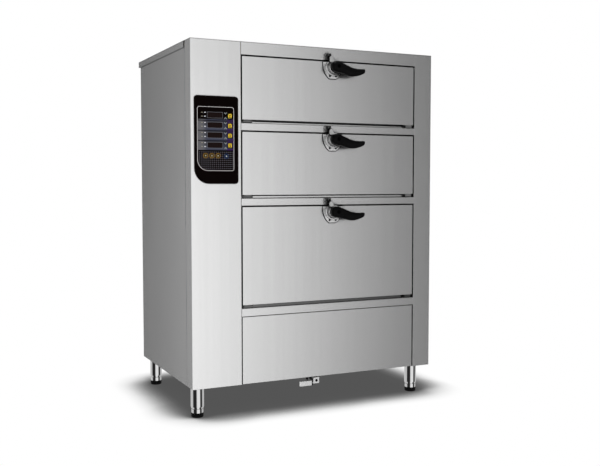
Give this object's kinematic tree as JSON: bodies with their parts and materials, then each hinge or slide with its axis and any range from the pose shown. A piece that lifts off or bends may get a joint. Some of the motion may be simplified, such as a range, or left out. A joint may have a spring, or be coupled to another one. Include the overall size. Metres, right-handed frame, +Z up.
{
  "type": "seafood steamer cabinet",
  "caption": "Free-standing steel steam cabinet with stacked drop-down doors on lever latches, a side control panel, a boiler compartment and round legs.",
  "frame": {"origin": "on the floor, in the middle of the box round the whole cabinet", "axes": "+X to the right seen from the front, +Y to the back, +Z up"},
  "size_m": [1.2054, 0.8918, 1.618],
  "materials": {
    "brushed_sheet": "vertical brushed grain",
    "chamber_steel": "plain mill finish",
    "mineral_wool": "matt, fibrous",
    "pipe_steel": "drawn tube",
    "element_steel": "dull sheath",
    "black_plastic": "moulded",
    "brass": "cast and turned",
    "valve_steel": "satin plated",
    "board_green": "coated board",
    "panel_black": "satin printed overlay",
    "key_yellow": "moulded",
    "chrome": "polished",
    "hinge_steel": "plain",
    "foot_black": "moulded",
    "gasket_rubber": "extruded silicone",
    "lever_black": "moulded, satin"
  },
  "bodies": {
    "cabinet": {"back_panel": "brushed_sheet", "base_tray": "brushed_sheet", "boiler_tank": "chamber_steel", "cable_gland": "black_plastic", "control_board": "board_green", "control_column": "brushed_sheet", "control_panel": "panel_black", "cross_rails": "brushed_sheet", "drain_valve_body": "valve_steel", "heating_elements": "element_steel", "hinge_brackets": "hinge_steel", "insulation": "mineral_wool", "latch_keepers": "chrome", "left_side_panel": "brushed_sheet", "leg_tubes": "chrome", "level_probe": "black_plastic", "lower_chamber": "chamber_steel", "lower_panel": "brushed_sheet", "middle_chamber": "chamber_steel", "panel_screws": "hinge_steel", "pipework": "pipe_steel", "power_unit": "black_plastic", "right_side_panel": "brushed_sheet", "right_stile": "brushed_sheet", "shelves": "chamber_steel", "solenoid_valves": "brass", "top_cover": "brushed_sheet", "upper_chamber": "chamber_steel", "vent_outlet": "pipe_steel", "water_inlet": "brass"},
    "upper_door": {"upper_door_skin": "brushed_sheet", "upper_door_liner": "chamber_steel", "upper_door_gasket": "gasket_rubber", "upper_hinge_leaves": "hinge_steel", "upper_latch_base": "chrome"},
    "upper_latch": {"upper_latch_cam": "chrome", "upper_latch_lever": "lever_black"},
    "middle_door": {"middle_door_skin": "brushed_sheet", "middle_door_liner": "chamber_steel", "middle_door_gasket": "gasket_rubber", "middle_hinge_leaves": "hinge_steel", "middle_latch_base": "chrome"},
    "middle_latch": {"middle_latch_cam": "chrome", "middle_latch_lever": "lever_black"},
    "lower_door": {"lower_door_skin": "brushed_sheet", "lower_door_liner": "chamber_steel", "lower_door_gasket": "gasket_rubber", "lower_hinge_leaves": "hinge_steel", "lower_latch_base": "chrome"},
    "lower_latch": {"lower_latch_cam": "chrome", "lower_latch_lever": "lever_black"},
    "drain_lever_body": {"drain_lever": "valve_steel"},
    "key_1_body": {"key_1": "key_yellow"},
    "key_2_body": {"key_2": "key_yellow"},
    "key_3_body": {"key_3": "key_yellow"},
    "key_4_body": {"key_4": "key_yellow"},
    "front_left_foot_body": {"front_left_foot": "foot_black"},
    "front_right_foot_body": {"front_right_foot": "foot_black"},
    "rear_left_foot_body": {"rear_left_foot": "foot_black"},
    "rear_right_foot_body": {"rear_right_foot": "foot_black"}
  },
  "joints": [
    {"name": "upper_door_hinge", "type": "hinge", "parent": "cabinet", "child": "upper_door", "pos_m": [0, -0.3751, 1.277], "axis": [1, 0, 0], "range_deg": [0, 90]},
    {"name": "upper_latch_turn", "type": "hinge", "parent": "upper_door", "child": "upper_latch", "pos_m": [0.07, -0.413, 1.531], "axis": [0, 1, 0], "range_deg": [0, 90]},
    {"name": "middle_door_hinge", "type": "hinge", "parent": "cabinet", "child": "middle_door", "pos_m": [0, -0.3751, 0.951], "axis": [1, 0, 0], "range_deg": [0, 90]},
    {"name": "middle_latch_turn", "type": "hinge", "parent": "middle_door", "child": "middle_latch", "pos_m": [0.07, -0.413, 1.207], "axis": [0, 1, 0], "range_deg": [0, 90]},
    {"name": "lower_door_hinge", "type": "hinge", "parent": "cabinet", "child": "lower_door", "pos_m": [0, -0.3751, 0.469], "axis": [1, 0, 0], "range_deg": [0, 90]},
    {"name": "lower_latch_turn", "type": "hinge", "parent": "lower_door", "child": "lower_latch", "pos_m": [0.07, -0.413, 0.881], "axis": [0, 1, 0], "range_deg": [0, 90]},
    {"name": "drain_lever_turn", "type": "hinge", "parent": "cabinet", "child": "drain_lever_body", "pos_m": [0, -0.3511, 0.104], "axis": [0, -1, 0], "range_deg": [0, 90]},
    {"name": "key_1_press", "type": "slide", "parent": "cabinet", "child": "key_1_body", "axis": [0, 1, 0], "range_m": [0, 0.0006], "stiffness_N_per_m": 800},
    {"name": "key_2_press", "type": "slide", "parent": "cabinet", "child": "key_2_body", "axis": [0, 1, 0], "range_m": [0, 0.0006], "stiffness_N_per_m": 800},
    {"name": "key_3_press", "type": "slide", "parent": "cabinet", "child": "key_3_body", "axis": [0, 1, 0], "range_m": [0, 0.0006], "stiffness_N_per_m": 800},
    {"name": "key_4_press", "type": "slide", "parent": "cabinet", "child": "key_4_body", "axis": [0, 1, 0], "range_m": [0, 0.0006], "stiffness_N_per_m": 800},
    {"name": "front_left_foot_screw", "type": "slide", "parent": "cabinet", "child": "front_left_foot_body", "axis": [0, 0, -1], "range_m": [0, 0.025]},
    {"name": "front_right_foot_screw", "type": "slide", "parent": "cabinet", "child": "front_right_foot_body", "axis": [0, 0, -1], "range_m": [0, 0.025]},
    {"name": "rear_left_foot_screw", "type": "slide", "parent": "cabinet", "child": "rear_left_foot_body", "axis": [0, 0, -1], "range_m": [0, 0.025]},
    {"name": "rear_right_foot_screw", "type": "slide", "parent": "cabinet", "child": "rear_right_foot_body", "axis": [0, 0, -1], "range_m": [0, 0.025]}
  ]
}
